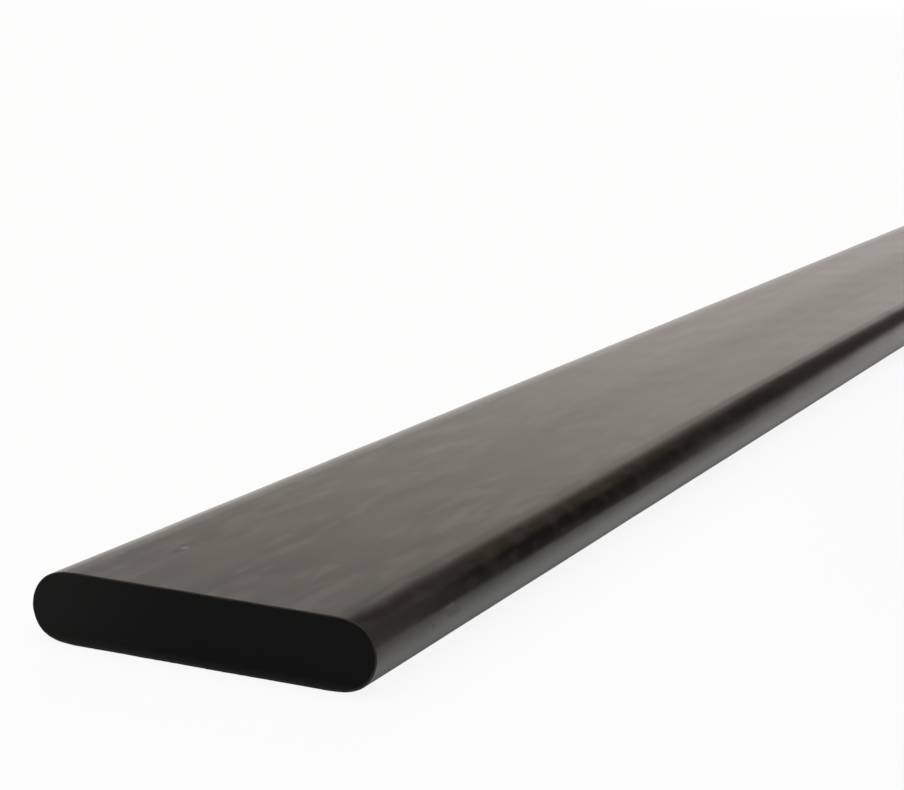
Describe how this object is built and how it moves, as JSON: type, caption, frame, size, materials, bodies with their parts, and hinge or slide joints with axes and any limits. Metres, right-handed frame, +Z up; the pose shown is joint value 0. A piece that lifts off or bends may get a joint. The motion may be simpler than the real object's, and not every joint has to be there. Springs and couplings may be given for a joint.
{
  "type": "carbon fiber flat strip",
  "caption": "Solid flat strip of pultruded carbon fibre with full-round long edges and square sawn ends, stock for stiffening, bonding or cutting to length.",
  "frame": {"origin": "middle of the lower flat face, on the surface the strip lies on", "axes": "+X along the strip's length, +Y across its width, +Z up through its thickness"},
  "size_m": [1, 0.05, 0.01],
  "materials": {
    "carbon_fibre": "satin black moulded carbon fibre and epoxy with lengthwise fibre streaks, dull black where it is sawn"
  },
  "bodies": {
    "root": {"strip": "carbon_fibre"}
  },
  "joints": []
}
